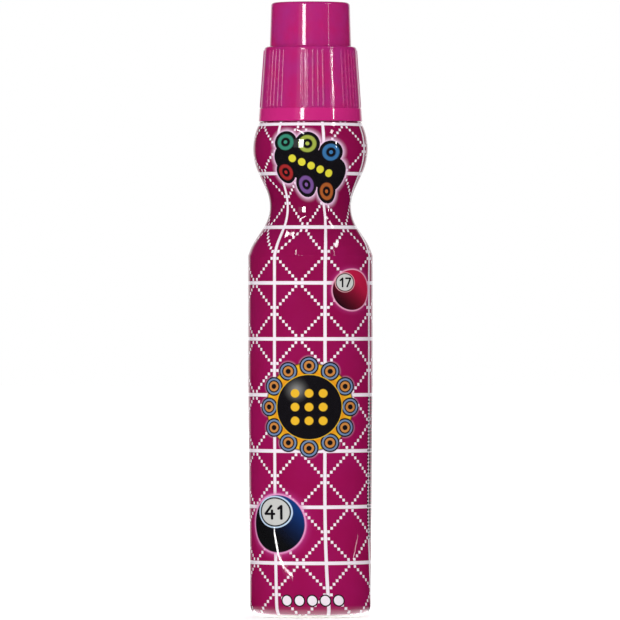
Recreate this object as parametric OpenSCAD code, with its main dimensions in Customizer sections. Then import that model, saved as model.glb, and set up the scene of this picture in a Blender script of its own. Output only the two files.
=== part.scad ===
// A bingo dauber: a waisted bottle in a printed sleeve, a spring valve with a
// soft round pad in its neck, and a ribbed screw cap with a seal inside.
// Millimetres. The origin is the middle of the base, +Z points up through the
// cap, and the printed front faces -Y. Rounded profiles are lists of corners
// [radius, height, rounding], read from the bottom up.

/* [Bottle body] */
// Radius over the sleeve on the straight part of the body
body_r = 14.2; // [13:0.1:17]
// Radius over the sleeve at the foot, which the body tapers down to
foot_r = 13.75; // [11.4:0.05:16.4]
// Rounding of the bottom edge
foot_round = 2.6; // [2:0.1:3.2]
// Height at which the taper to the foot starts
taper_z = 50; // [40:1:60]
// Height of the shoulder, where the body starts to narrow
shoulder_z = 83.3; // [69:0.1:100]
// Rounding of the shoulder
shoulder_round = 8.2; // [6.5:0.1:10]
// Rise from the shoulder to the waist
waist_rise = 9.3; // [7.5:0.1:11.5]
// Radius that the waist's sides aim at, before rounding
waist_r = 7.9; // [6.5:0.1:9.5]
// Rounding of the waist
waist_round = 8.9; // [7:0.1:11]
// Rise from the waist to the bulge under the cap
bulge_rise = 14; // [11.6:0.1:16.8]
// Radius that the bulge's sides aim at, before rounding
bulge_r = 14.5; // [12:0.1:17.3]
// Rounding of the bulge
bulge_round = 13.1; // [10.8:0.1:15.6]
// Rise from the bulge to the ledge under the cap
ledge_rise = 5.7; // [4.7:0.1:6.8]
// Radius over the sleeve at the ledge
ledge_r = 11.7; // [9.7:0.1:13.9]
// Wall of the bottle
bottle_wall = 0.9; // [0.7:0.05:1.2]
// Outer radius of the recess under the base
recess_r = 9; // [7:0.1:10.5]
// Depth of the recess under the base
recess_h = 1.6; // [1.2:0.1:2.2]

/* [Sleeve and ink] */
// Thickness of the printed sleeve
sleeve_t = 0.15; // [0.1:0.01:0.25]
// Space between the sleeve and the bottle
sleeve_gap = 0.02; // [0.01:0.01:0.05]
// Height of the sleeve's lower edge, on the rounded bottom edge
sleeve_foot_z = 0.7; // [0.5:0.05:1.5]
// Height of the ink's surface, which gives 50 ml
ink_z = 105.8; // [60:0.1:108]
// Space between the ink and the bottle
ink_gap = 0.05; // [0.02:0.01:0.1]

/* [Neck and thread] */
// Radius of the neck's bore
neck_bore_r = 7.2; // [6.2:0.1:8.6]
// Wall of the neck
neck_wall = 1.2; // [1:0.05:1.5]
// Height of the neck above the ledge
neck_h = 13.7; // [12.5:0.1:16.5]
// Rise of the thread in one turn
thread_lead = 3.2; // [2.7:0.05:3.8]
// Depth of the thread
thread_depth = 0.9; // [0.7:0.05:1.1]
// Width of the thread at its root
thread_root_w = 1.5; // [1.2:0.05:1.7]
// Width of the thread at its crest
thread_crest_w = 0.7; // [0.5:0.05:0.85]
// Turns of the thread on the neck
neck_turns = 1.75; // [1.25:0.25:2]
// Turns of the thread in the cap
cap_turns = 1.5; // [1:0.25:1.75]
// Height of the neck thread's start above the ledge
thread_rise = 5.4; // [4.6:0.1:6.4]
// Space between a thread's crest and the wall across from it
thread_gap = 0.25; // [0.15:0.01:0.35]
// Space between the two threads' flanks when the cap is closed
flank_gap = 0.2; // [0.1:0.01:0.3]

/* [Cap] */
// Wall of the cap's skirt
cap_wall = 1.05; // [0.9:0.05:1.3]
// How much the skirt widens from its top to its rim
cap_flare = 1.2; // [0.9:0.05:1.5]
// Space between the cap's rim and the ledge
rim_gap = 0.35; // [0.2:0.01:0.5]
// Height of the smooth band at the rim
band_h = 3; // [2.4:0.1:3.6]
// Height of the lead-in inside the rim
lead_in_h = 2.4; // [1.9:0.1:2.9]
// Thickness of the step between skirt and crown
step_t = 1.1; // [0.9:0.05:1.4]
// Wall of the crown
crown_wall = 1.06; // [0.85:0.01:1.3]
// How much the crown narrows to its top
crown_taper = 0.33; // [0.2:0.01:0.45]
// Thickness of the crown's top
crown_top_t = 1.3; // [1:0.05:1.6]
// Space between the applicator's collar and the crown
crown_gap = 0.4; // [0.3:0.01:0.55]
// Space between the pad and the inside of the crown's top
head_gap = 1.5; // [1.2:0.1:2]
// Number of groups of grip ribs
rib_groups = 7; // [5:1:8]
// Ribs in one group
group_ribs = 5; // [3:1:6]
// Angle between two ribs in a group
rib_pitch = 6.2; // [5:0.1:6.6]
// Radius of a rib's rounded back
rib_r = 0.42; // [0.34:0.01:0.5]
// How far the ribs and the band stand out from the skirt
rib_h = 0.16; // [0.1:0.01:0.2]
// Thickness of the sealing ring in the cap
liner_t = 1.4; // [1.1:0.05:1.7]
// Space round the sealing ring
liner_gap = 0.12; // [0.08:0.01:0.2]

/* [Applicator] */
// How far the pad can be pressed in
press_travel = 2.5; // [2:0.1:3]
// Length of the housing's plug in the neck
plug_h = 10; // [9.6:0.1:12]
// Space between the plug and the neck's bore
plug_gap = 0.15; // [0.1:0.01:0.2]
// Wall of the housing
housing_wall = 0.85; // [0.7:0.05:1]
// Thickness of the housing's flange on the neck
flange_t = 1.2; // [1:0.05:1.5]
// Depth of the housing's floor under the flange
floor_depth = 4.2; // [3.6:0.1:4.8]
// Thickness of the housing's floor
floor_t = 1.2; // [1:0.05:1.5]
// Height of the stem guide above the floor
guide_h = 1.5; // [1.2:0.1:1.8]
// Space between the housing and the pad carrier
carrier_gap = 0.2; // [0.15:0.01:0.25]
// Wall of the pad carrier
carrier_wall = 0.8; // [0.65:0.05:1]
// Thickness of the pad carrier's plate
plate_t = 1; // [0.8:0.05:1.2]
// Length of the carrier's skirt under its plate
carrier_skirt_h = 3.2; // [2.6:0.1:3.8]
// Radius of the carrier's hub and of the stem guide
hub_r = 2.2; // [1.9:0.05:2.6]
// Radius of the valve stem
stem_r = 1.3; // [1.1:0.05:1.55]
// Running clearance round the valve stem
stem_gap = 0.06; // [0.03:0.01:0.09]
// Space round a piece that is pushed into another
push_gap = 0.02; // [0.01:0.01:0.03]
// Thickness of the valve disc
disc_t = 1.2; // [1:0.05:1.5]
// Space round the valve disc, where the ink passes
disc_gap = 0.5; // [0.4:0.05:0.65]
// Thickness of the rubber seal on the valve disc
seal_t = 0.8; // [0.6:0.05:1]
// Ink holes in the housing's floor
floor_holes = 6; // [4:1:7]
// Ink holes in the carrier's plate
plate_holes = 8; // [5:1:9]
// Width left beside each ink hole
hole_margin = 0.38; // [0.3:0.01:0.45]
// Radius of the spring's wire
wire_r = 0.25; // [0.2:0.01:0.3]
// Turns of the spring
spring_turns = 6; // [5:0.5:7]
// Space between the spring and the hub
spring_gap = 0.15; // [0.1:0.01:0.25]
// Wall of the ring that holds the fabric
ring_wall = 0.7; // [0.55:0.05:0.85]
// Height of the ring that holds the fabric
ring_t = 1.2; // [1:0.05:1.5]
// Space under the ring when the pad is fully pressed
ring_gap = 0.2; // [0.15:0.01:0.3]
// Wall of the collar round the pad
collar_wall = 0.6; // [0.5:0.05:0.75]
// Space between the collar and what moves inside it
collar_gap = 0.25; // [0.2:0.01:0.3]
// Thickness of the fabric over the pad
fabric_t = 0.25; // [0.2:0.01:0.3]
// Height of the foam pad
foam_h = 5.75; // [4.8:0.05:6.9]
// Height of the pad's rounded top
dome_h = 3.3; // [2.7:0.05:3.9]

/* [Hidden] */
$fn = 96;

// Largest angle between two points of a rounded corner
arc_step = 3;
// Length added to a cut so that it leaves the solid cleanly
over = 1;
// Depth at which a thread or rib is rooted in its wall
root_in = 0.3;
// Points of a thread in one turn, and of the spring in one turn
thread_steps = 48;
spring_steps = 20;
// Sides of the spring's wire
wire_sides = 6;
// Angle over which a thread runs out at each end
run_out = 30;
// Part of its depth that a thread keeps at its very ends
end_depth = 0.4;
// Part of a turn that lies flat at each end of the spring
flat_turn = 0.4;
// Rounding of small moulded edges
edge_round = 0.25;
// Rounding of the corners that the sealing ring lies in
seat_round = min(edge_round, 0.8 * liner_gap);
// Middle of the rib group nearest the front, as an angle about the axis
front_group = -87;

// The body's heights, each from the one below
waist_z = shoulder_z + waist_rise;
bulge_z = waist_z + bulge_rise;
ledge_z = bulge_z + ledge_rise;
neck_z = ledge_z + neck_h;
bottle_inset = sleeve_t + sleeve_gap;
inner_inset = bottle_inset + bottle_wall;

// Radii from the neck's bore outwards
neck_r = neck_bore_r + neck_wall;
thread_r = neck_r + thread_depth;
cap_bore_r = thread_r + thread_gap;
skirt_r = cap_bore_r + cap_wall;
rim_r = skirt_r + cap_flare;

// Radii from the neck's bore inwards
plug_r = neck_bore_r - plug_gap;
well_r = plug_r - housing_wall;
carrier_r = well_r - carrier_gap;
carrier_in_r = carrier_r - carrier_wall;
disc_r = well_r - disc_gap;
spring_r = hub_r + spring_gap + wire_r;
spring_out_r = spring_r + wire_r;

// Radii round the pad
wrap_r = carrier_r + fabric_t;
ring_r = wrap_r + push_gap + ring_wall;
collar_bore_r = ring_r + collar_gap;
collar_r = collar_bore_r + collar_wall;
pad_r = collar_bore_r - collar_gap;
foam_r = pad_r - fabric_t;
crown_bore_r = collar_r + crown_gap;
crown_r = crown_bore_r + crown_wall;

// The applicator's heights, each from the one it stands on
flange_z = neck_z + flange_t;
floor_z = neck_z - floor_depth;
seat_z = floor_z - floor_t;
disc_z = seat_z - seal_t - disc_t;
guide_z = floor_z + guide_h;
ring_z = flange_z + press_travel + ring_gap;
ring_top_z = ring_z + ring_t;
plate_z = ring_top_z + 0.4 * edge_round;
plate_under_z = plate_z - plate_t;
hub_z = guide_z + press_travel + stem_gap;
collar_z = ring_top_z - 0.4 * edge_round;
foam_z = plate_z + foam_h;
pad_z = foam_z + fabric_t;

// The cap's heights
rim_z = ledge_z + rim_gap;
liner_z = flange_z + liner_t;
step_z = liner_z + step_t;
band_z = rim_z + band_h;
crown_in_z = pad_z + head_gap;
top_z = crown_in_z + crown_top_t;

// How far below the neck's thread the cap's thread lies, flank to flank
flank_slope = (thread_root_w - thread_crest_w) / thread_depth;
thread_drop = thread_root_w - flank_slope * (thread_depth + thread_gap) / 2 + flank_gap;
thread_z = ledge_z + thread_rise;

function unit(v) = v / norm(v);
function flat(p) = [p[0], p[1]];
function left_of(a, b) = let (d = unit(b - a)) [-d[1], d[0]];

// How far a corner's arc may reach along the side from b to a
function room(c, i, j) =
    norm(flat(c[j]) - flat(c[i])) * (j == 0 || j == len(c) - 1 ? 0.98 : 0.49);

// The arc at corner i of a profile
function corner(c, i) =
    let (
        b = flat(c[i]),
        u = unit(flat(c[i - 1]) - b),
        v = unit(flat(c[i + 1]) - b),
        half = acos(u * v) / 2,
        reach = min(c[i][2] / tan(half), room(c, i, i - 1), room(c, i, i + 1)),
        middle = b + unit(u + v) * reach / cos(half),
        from = b + u * reach - middle,
        sweep = (180 - 2 * half) * sign(u[1] * v[0] - u[0] * v[1]),
        steps = ceil(abs(sweep) / arc_step),
        start = atan2(from[1], from[0])
    )
    [for (k = [0:steps])
        middle + norm(from) * [cos(start + sweep * k / steps), sin(start + sweep * k / steps)]];

// A profile's points, with an arc at every corner that has a rounding
function rounded(c) = [for (i = [0:len(c) - 1])
    each (c[i][2] > 0 && i > 0 && i < len(c) - 1 ? corner(c, i) : [flat(c[i])])];

// The same profile moved to its left by d, with its roundings to match
function inset(c, d) = [for (i = [0:len(c) - 1])
    let (
        before = i > 0 ? left_of(flat(c[i - 1]), flat(c[i])) : left_of(flat(c[0]), flat(c[1])),
        after = i < len(c) - 1 ? left_of(flat(c[i]), flat(c[i + 1])) : before,
        turn = sign(before[0] * after[1] - before[1] * after[0]),
        p = flat(c[i]) + d * (before + after) / (1 + before * after)
    )
    [p[0], p[1], c[i][2] > 0 ? max(c[i][2] - d * turn, 0.01) : 0]];

// The line from a to b, run on past b
function past(a, b, by) = b + unit(b - a) * by;

ledge_end = past([bulge_r, bulge_z], [ledge_r, ledge_z], over);
silhouette = [
    [0, 0, 0],
    [foot_r, 0, foot_round],
    [body_r, taper_z, body_r * 10],
    [body_r, shoulder_z, shoulder_round],
    [waist_r, waist_z, waist_round],
    [bulge_r, bulge_z, bulge_round],
    [ledge_end[0], ledge_end[1], 0]];

recess_end = past([recess_r * 0.7, recess_h], [recess_r, 0], over);
recess = [[0, recess_h, 0], [recess_r * 0.7, recess_h, 3], [recess_end[0], recess_end[1], 0]];

// What a body profile encloses up to a height, moved in by d
module body_profile(d, top) {
    line = rounded(inset(silhouette, d));
    intersection() {
        polygon(concat(line, [[0, line[len(line) - 1][1]]]));
        square([2 * body_r, top]);
    }
}

// What the recess under the base takes up, grown by d
module recess_profile(d) {
    line = rounded(inset(recess, d));
    polygon(concat(line, [[0, line[len(line) - 1][1]]]));
}

// The space inside the bottle up to a height, less a gap at the walls
module cavity_profile(gap, top) {
    difference() {
        body_profile(inner_inset + gap, top);
        recess_profile(bottle_wall + gap);
    }
}

// The faces of a closed sweep of n-sided rings, whose points run anticlockwise
function swept_faces(rings, n) = concat(
    [[for (k = [n - 1:-1:0]) k]],
    [for (i = [0:rings - 1], k = [0:n - 1])
        let (a = n * i + k, b = n * i + (k + 1) % n)
        each [[a, b, b + n], [a, b + n, a + n]]],
    [[for (k = [0:n - 1]) n * rings + k]]);

// One ridge of thread round the axis, from radius near_r to far_r
module ridge(near_r, near_w, far_r, far_w, z, turns) {
    rings = ceil(turns * thread_steps);
    whole = turns * 360;
    external = near_w > far_w;
    points = [for (i = [0:rings])
        let (
            a = whole * i / rings,
            full = max(min(a, whole - a, run_out) / run_out, end_depth),
            near = external ? near_r : far_r - (far_r - near_r) * full,
            far = external ? near_r + (far_r - near_r) * full : far_r,
            mid = z + thread_lead * a / 360
        )
        for (p = [[near, -near_w], [far, -far_w], [far, far_w], [near, near_w]])
            [p[0] * cos(a), p[0] * sin(a), mid + p[1] / 2]];
    polyhedron(points, swept_faces(rings, 4), convexity = 6);
}

// Holes through a plate, spaced evenly between two radii
module hole_ring(count, near_r, far_r, z, depth) {
    for (i = [0:count - 1])
        rotate(360 * i / count)
            translate([(near_r + far_r) / 2, 0, z])
                cylinder(r = (far_r - near_r) / 2 - hole_margin, h = depth);
}

// The bottle, blown in one piece with its threaded neck
module bottle() {
    stand_r = foot_r - foot_round;
    color("ivory") {
        rotate_extrude()
            difference() {
                union() {
                    body_profile(bottle_inset, ledge_z);
                    translate([recess_r, 0])
                        square([stand_r - recess_r, foot_round / 2]);
                    polygon(rounded([
                        [0, ledge_z - bottle_wall, 0],
                        [neck_r + bottle_wall, ledge_z - bottle_wall, 0],
                        [neck_r + bottle_wall, ledge_z, 0],
                        [neck_r, ledge_z, 2 * edge_round],
                        [neck_r, neck_z, edge_round],
                        [0, neck_z, 0]]));
                }
                cavity_profile(0, ledge_z - bottle_wall);
                recess_profile(0);
                translate([0, ledge_z - 2 * bottle_wall])
                    square([neck_bore_r, neck_h + 3 * bottle_wall]);
            }
        ridge(neck_r - root_in, thread_root_w, thread_r, thread_crest_w, thread_z, neck_turns);
    }
}

// The printed sleeve, shrunk on to the bottle from the ledge to the foot
module label_sleeve() {
    color("mediumvioletred")
        rotate_extrude()
            difference() {
                body_profile(0, ledge_z);
                body_profile(sleeve_t, ledge_z + over);
                square([foot_r, sleeve_foot_z]);
            }
}

// The ink that fills the bottle to its level
module ink_fill() {
    color("crimson")
        rotate_extrude()
            cavity_profile(ink_gap, ink_z);
}

// The plug in the neck, with the valve's seat, the stem guide and the collar
module applicator_housing() {
    bead_r = 2 * plug_gap;
    color("white")
        difference() {
            rotate_extrude()
                difference() {
                    union() {
                        translate([0, neck_z - plug_h])
                            square([plug_r, plug_h]);
                        for (z = [neck_z - plug_h / 3, neck_z - plug_h * 2 / 3])
                            translate([neck_bore_r - push_gap - bead_r, z])
                                circle(r = bead_r);
                        polygon(rounded([
                            [0, neck_z, 0],
                            [neck_r, neck_z, 0],
                            [neck_r, flange_z, edge_round],
                            [collar_r, flange_z, seat_round],
                            [collar_r, collar_z, edge_round],
                            [0, collar_z, 0]]));
                    }
                    translate([0, flange_z])
                        square([collar_bore_r, collar_z]);
                    translate([hub_r, floor_z])
                        square([well_r - hub_r, collar_z]);
                    translate([0, guide_z])
                        square([well_r, collar_z]);
                    square([well_r, seat_z]);
                    square([stem_r + stem_gap, collar_z]);
                }
            hole_ring(floor_holes, spring_out_r, disc_r, seat_z - over, floor_t + 2 * over);
        }
}

// The spring that lifts the pad and closes the valve
module return_spring() {
    height = plate_under_z - floor_z - 2 * wire_r;
    rings = ceil(spring_turns * spring_steps);
    points = [for (i = [0:rings])
        let (
            t = spring_turns * i / rings,
            climb = (t - flat_turn) / (spring_turns - 2 * flat_turn),
            z = floor_z + wire_r + height * min(max(climb, 0), 1)
        )
        for (k = [0:wire_sides - 1])
            let (b = 360 * k / wire_sides, r = spring_r + wire_r * cos(b))
            [r * cos(360 * t), r * sin(360 * t), z + wire_r * sin(b)]];
    color("silver")
        polyhedron(points, swept_faces(rings, wire_sides), convexity = 10);
}

// The stem with the valve disc at its foot
module valve_stem() {
    color("white")
        rotate_extrude()
            polygon(rounded([
                [0, disc_z, 0],
                [disc_r, disc_z, edge_round],
                [disc_r, disc_z + disc_t, 0],
                [stem_r, disc_z + disc_t, 0],
                [stem_r, plate_under_z, 0],
                [0, plate_under_z, 0]]));
}

// The rubber washer that the disc presses against the housing's floor
module valve_seal() {
    color("dimgray")
        translate([0, 0, seat_z - seal_t])
            difference() {
                cylinder(r = disc_r, h = seal_t);
                translate([0, 0, -over])
                    cylinder(r = stem_r + push_gap, h = seal_t + 2 * over);
            }
}

// The perforated cup that carries the foam and is fixed on the stem
module pad_carrier() {
    color("white")
        difference() {
            rotate_extrude()
                difference() {
                    translate([0, plate_under_z - carrier_skirt_h])
                        square([carrier_r, carrier_skirt_h + plate_t]);
                    translate([hub_r, plate_under_z - carrier_skirt_h])
                        square([carrier_in_r - hub_r, carrier_skirt_h]);
                    square([carrier_in_r, hub_z]);
                    square([stem_r + push_gap, plate_under_z]);
                }
            hole_ring(plate_holes, spring_out_r, carrier_in_r, plate_under_z - over,
                plate_t + 2 * over);
        }
}

// The outline of the round pad, from the carrier's plate up to its dome
module pad_profile(grow) {
    r = foam_r + grow;
    dome_z = foam_z - dome_h;
    polygon(concat(
        [[0, plate_z], [carrier_r + grow, plate_z], [r, plate_z + foam_r - carrier_r]],
        [for (a = [0:arc_step:90])
            [r * cos(a), dome_z + (dome_h + grow) * sin(a)]]));
}

// The foam that soaks up the ink and prints the dot
module foam_pad() {
    color("pink")
        rotate_extrude()
            pad_profile(-push_gap);
}

// The fabric over the foam, drawn down to the ring
module fabric_cover() {
    color("hotpink")
        rotate_extrude()
            difference() {
                union() {
                    pad_profile(fabric_t);
                    translate([0, ring_z])
                        square([wrap_r, plate_z - ring_z]);
                }
                pad_profile(0);
                square([carrier_r + push_gap, plate_z]);
            }
}

// The ring that holds the fabric on the carrier
module retaining_ring() {
    color("white")
        rotate_extrude()
            polygon(rounded([
                [wrap_r + push_gap, (ring_z + ring_top_z) / 2, 0],
                [wrap_r + push_gap, ring_z, 0],
                [ring_r, ring_z, edge_round],
                [ring_r, ring_top_z, edge_round],
                [wrap_r + push_gap, ring_top_z, 0]]));
}

// The soft ring in the cap that seals on the housing's flange
module cap_liner() {
    color("whitesmoke")
        translate([0, 0, flange_z])
            difference() {
                cylinder(r = cap_bore_r - liner_gap, h = liner_t);
                translate([0, 0, -over])
                    cylinder(r = collar_r + liner_gap, h = liner_t + 2 * over);
            }
}

// Radius of the skirt's proud surface at a height
function skirt_at(z) = skirt_r + cap_flare * (step_z - z) / (step_z - rim_z);

// One grip rib, a rod laid along the skirt and rounded at its foot
module rib() {
    foot_z = band_z + rib_r;
    head_z = step_z - 2 * rib_r;
    foot = [skirt_at(foot_z) - rib_r, 0, foot_z];
    head = [skirt_at(head_z) - rib_r, 0, head_z];
    lean = atan2(head[0] - foot[0], head[2] - foot[2]);
    translate(foot) {
        sphere(r = rib_r, $fn = 24);
        rotate([0, lean, 0])
            cylinder(r = rib_r, h = norm(head - foot), $fn = 24);
    }
}

// The screw cap, with its narrow crown over the pad and its ribbed skirt
module cap() {
    color("mediumvioletred") {
        rotate_extrude()
            polygon(rounded([
                [0, crown_in_z, 0],
                [crown_bore_r - crown_taper, crown_in_z, 3 * edge_round],
                [crown_bore_r, liner_z, 0],
                [cap_bore_r, liner_z, seat_round],
                [cap_bore_r, rim_z + lead_in_h, edge_round],
                [rim_r - cap_wall, rim_z, edge_round],
                [rim_r, rim_z, edge_round],
                [skirt_at(band_z), band_z, edge_round / 2],
                [skirt_at(band_z) - rib_h, band_z, edge_round / 2],
                [skirt_r - rib_h, step_z, 3 * edge_round],
                [crown_r, step_z, edge_round],
                [crown_r - crown_taper, top_z - edge_round, 3 * edge_round],
                [crown_r / 2, top_z, 4 * crown_r],
                [0, top_z, 0]]));
        for (g = [0:rib_groups - 1], i = [0:group_ribs - 1])
            rotate(front_group + 360 * g / rib_groups + rib_pitch * (i - (group_ribs - 1) / 2))
                rib();
        ridge(cap_bore_r - thread_depth, thread_crest_w, cap_bore_r + root_in, thread_root_w,
            thread_z - thread_drop, cap_turns);
    }
}

bottle();
label_sleeve();
ink_fill();
applicator_housing();
return_spring();
valve_stem();
valve_seal();
pad_carrier();
foam_pad();
fabric_cover();
retaining_ring();
cap_liner();
cap();
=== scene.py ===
"""The looks of a bingo dauber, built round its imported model.

Metres. The origin is the middle of the base, +Z points up through the cap, and the printed
front faces -Y. Colours are linear.
"""
import math

import bmesh
import bpy
from mathutils import Matrix, Vector


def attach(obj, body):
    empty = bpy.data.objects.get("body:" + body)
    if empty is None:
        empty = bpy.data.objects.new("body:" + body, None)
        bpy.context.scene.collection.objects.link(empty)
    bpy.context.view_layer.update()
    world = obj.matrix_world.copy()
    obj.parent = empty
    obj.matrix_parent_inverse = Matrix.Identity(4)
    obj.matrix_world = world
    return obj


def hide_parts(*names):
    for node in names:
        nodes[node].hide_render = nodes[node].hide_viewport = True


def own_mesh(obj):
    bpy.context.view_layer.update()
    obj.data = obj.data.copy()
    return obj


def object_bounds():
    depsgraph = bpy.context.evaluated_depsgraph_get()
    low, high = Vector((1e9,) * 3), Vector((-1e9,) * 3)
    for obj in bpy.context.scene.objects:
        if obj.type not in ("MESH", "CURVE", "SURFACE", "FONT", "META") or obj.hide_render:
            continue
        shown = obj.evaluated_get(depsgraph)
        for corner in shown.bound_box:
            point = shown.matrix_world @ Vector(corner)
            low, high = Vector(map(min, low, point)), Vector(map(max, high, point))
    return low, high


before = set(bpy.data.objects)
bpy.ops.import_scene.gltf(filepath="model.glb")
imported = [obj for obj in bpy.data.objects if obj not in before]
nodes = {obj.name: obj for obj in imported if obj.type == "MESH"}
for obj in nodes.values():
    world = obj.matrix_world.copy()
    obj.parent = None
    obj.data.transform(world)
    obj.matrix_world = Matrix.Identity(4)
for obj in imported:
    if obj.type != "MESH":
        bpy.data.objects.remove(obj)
cad_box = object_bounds()
MM = 0.001

# Camera of the photograph: level, straight from the front
CAMERA_DISTANCE = 2.0
CAMERA_HEIGHT = 69.8 * MM
CAMERA_SIDE = -0.1 * MM
CAMERA_LENS = 510
SENSOR_WIDTH = 36

# The world: plain light for surfaces, white ground behind the object and dark studio in gloss
WORLD_LIGHT = 0.6
WHITE_GROUND = 1.0
DARK_STUDIO = 0.01
# Gloss shows the white ground only where a direction is this far from sideways to straight behind
BEHIND = (0.8, 0.95)

# The floor: half its side, its colour, and how it dulls
FLOOR_HALF = 6.0
FLOOR_WHITE = (0.82, 0.82, 0.82)
FLOOR_ROUGH = 0.9
# How bright the floor is of itself, near the object and far off, and over which distances
FLOOR_GLOW = (0.46, 1.0)
FLOOR_REACH = (0.1, 0.5)
# The foot's gloss shows a bright floor: from which radius it fades, how far, and how bright it is
FOOT_START = 0.0125
FOOT_GLOWS = ((0.018, 4.0), (0.03, 0.8))

# Soft boxes that face the object: azimuth and elevation in degrees, width, height, watts, and
# whether they light the surfaces. The others only show in gloss. Azimuth 0 is the front, 90 +X
LAMP_DISTANCE = 0.9
SOFT_BOXES = (
    ("key", -12, 12, 0.6, 0.6, 4.0, True),
    ("fill_back", 165, 30, 0.6, 0.6, 3.0, True),
    ("panel_left", -18.6, 12, 0.14, 0.245, 4.2, False),
    ("panel_dim", -29, 12, 0.17, 0.245, 0.11, False),
    ("strip_right_high", 53.4, 12.5, 0.013, 0.065, 0.3, False),
    ("strip_right_middle", 53.4, 8.6, 0.015, 0.055, 0.035, False),
    ("strip_right_low", 53.4, 5.6, 0.015, 0.035, 0.11, False),
)

# Thin lamps for the glints on the waist and the bulge: start, end, width and watts
GLINT_BARS = (
    ("bar_left", (-0.197, -0.762, 0.544), (-0.38, -0.603, 0.654), 0.035, 0.82),
    ("patch_left", (-0.313, -0.179, 0.749), (-0.44, -0.047, 0.697), 0.01, 0.18),
    ("bar_right_low", (0.576, -0.545, 0.532), (0.59, -0.444, 0.617), 0.07, 0.55),
    ("bar_right_high", (0.59, -0.355, 0.679), (0.551, -0.118, 0.796), 0.07, 1.05),
)
GLINT_AIM = 108 * MM
GLINT_FAN = 180
# Thin lamps for the light lines near the foot. Each shines level, and in a narrow fan
FOOT_FAN = 30
FOOT_BARS = (
    ("line_left_high", (-0.152, -0.055, 0.0141), (-0.141, -0.08, 0.0078), 0.0019, 0.0002),
    ("line_left_middle", (-0.141, -0.08, 0.0078), (-0.123, -0.106, 0.0048), 0.001, 0.00012),
    ("line_left_low", (-0.123, -0.106, 0.0048), (-0.086, -0.139, 0.0023), 0.0005, 0.0001),
    ("line_right", (0.159, -0.014, 0.007), (0.1575, 0.022, 0.0133), 0.0006, 0.000025),
)

# The sleeve's film: its thickness, and how rough it is
FILM = 0.15 * MM
FILM_ROUGH = 0.03
# It waves a little, and lies smoother over its foot: scale, depth, reach and share left
WAVE_SCALE = 130
WAVE_DEPTH = 0.02 * MM
SMOOTH_FOOT = (22 * MM, 40 * MM)
SMOOTH_SHARE = 0.1
# Its cut edge stands a little over the ledge
EDGE_RISE = 0.2 * MM

# The flat print, in millimetres: a square, squares in a cell of the lattice, and cells round
SQUARE = 0.793
SQUARES = 16
CELL = SQUARE * SQUARES
CELLS_ROUND = 7
# Half width of one step of a diamond, as a share of a square
STEP_HALF = 0.4
# Height of the print's lowest full row
FIRST_ROW = 12.5
# How far the film is drawn down under the cap, from which height on, and over which height
DRAWN = 2.09
DRAWN_FROM = 80
DRAWN_OVER = 32
# How the film lies round the body, in degrees: where its middle is, and how far it strays from
# even, by the sine and the cosine of the turn and the sine of twice the turn
LATTICE_MIDDLE = 16.7
LATTICE_STRAY = (-5.9, 2.3, 5.3)
# The waist draws it round: by how many degrees, most at which height, how far up and down, and
# how that differs round the body
WAIST_PULL = 6.4
WAIST_HEIGHT = 91.3
WAIST_REACH = 5.7
WAIST_LEAN = 10
WAIST_EVEN = 0.6
# The foot draws it round up to this height: degrees, by powers of the turn's sine
FOOT_PULL_TO = 30
FOOT_PULL = (3.7, 3.8, 2.7, 5.0)

# Painted shade and light on the film: its colour is darker towards the top and where the body narrows
# at the waist, and lighter near the foot: reach and levels
PAINTED_SHADE_HEIGHT = (5 * MM, 105 * MM)
PAINTED_SHADE_LEVELS = (1.07, 0.88)
PAINTED_SHADE_RADIUS = (9.5 * MM, 13 * MM)
PAINTED_WAIST_SHADE = 0.82
# Its colour drifts between the two magentas: scale of the drift
FILM_DRIFT = 90

# The film turns sharply onto the straight body here: the reach that becomes an edge, half the
# edge's own height, and the steps of the mesh on each side of it
CREASE = (78.2 * MM, 83.4 * MM)
CREASE_HALF = 0.008 * MM
CREASE_STEPS = 4

# Sleeve mesh: spacing of its rings, steps round, and passes that soften its outline
SLEEVE_STEP = 0.5 * MM
SLEEVE_TURN_STEPS = 144
SOFTEN_PASSES = 4

# Colours of the film and its print
FILM_MAGENTA = (0.335, 0.0075, 0.1)
FILM_DEEP = (0.305, 0.005, 0.072)
PRINT_WHITE = (0.95, 0.86, 0.94)
PRINT_BLACK = (0.008, 0.007, 0.009)
GLOW_PINK = (0.9, 0.62, 0.84)
DISC_GREY = (0.62, 0.62, 0.6)
GOLD = (0.86, 0.5, 0.03)
GOLD_DEEP = (0.8, 0.3, 0.015)
BEAD_BLUE = (0.17, 0.25, 0.42)
BEAD_ORANGE = (0.6, 0.24, 0.06)
DOT_YELLOW = (0.75, 0.68, 0.05)

# Motifs, placed in the flat print in millimetres. Medallion: radii and places are shares of its own
MEDALLION_MIDDLE = (-3.9, 35.35)
MEDALLION_HALF = (8.2, 7.4)
MEDALLION_RIM = ((1.36, PRINT_BLACK), (1.32, GOLD_DEEP))
MEDALLION_FACE = ((1.01, GOLD), (0.985, PRINT_BLACK))
MEDALLION_SHINE = (-0.38, 0.52)
MEDALLION_BEADS = 12
BEAD_OUT = 1.26
BEAD_RINGS = ((0.29, PRINT_BLACK), (0.245, BEAD_BLUE), (0.19, PRINT_BLACK),
              (0.15, BEAD_ORANGE), (0.08, PRINT_BLACK))
DOT_PITCH = 0.42
DOT_RADIUS = 0.13
# Row of dots over the foot: middle, number, pitch, and radius with and without the dark edge
FOOT_MIDDLE = (-3.8, -8.45)
FOOT_DOTS = 5
FOOT_PITCH = 3.1
FOOT_DOT_EDGE = 1.4
FOOT_DOT = 1.1
# Panel of dots on the side
PANEL_MIDDLE = (18.0, 21.45)
PANEL_HALF = (6.0, 16.4)
PANEL_DOT = 0.3
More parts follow.
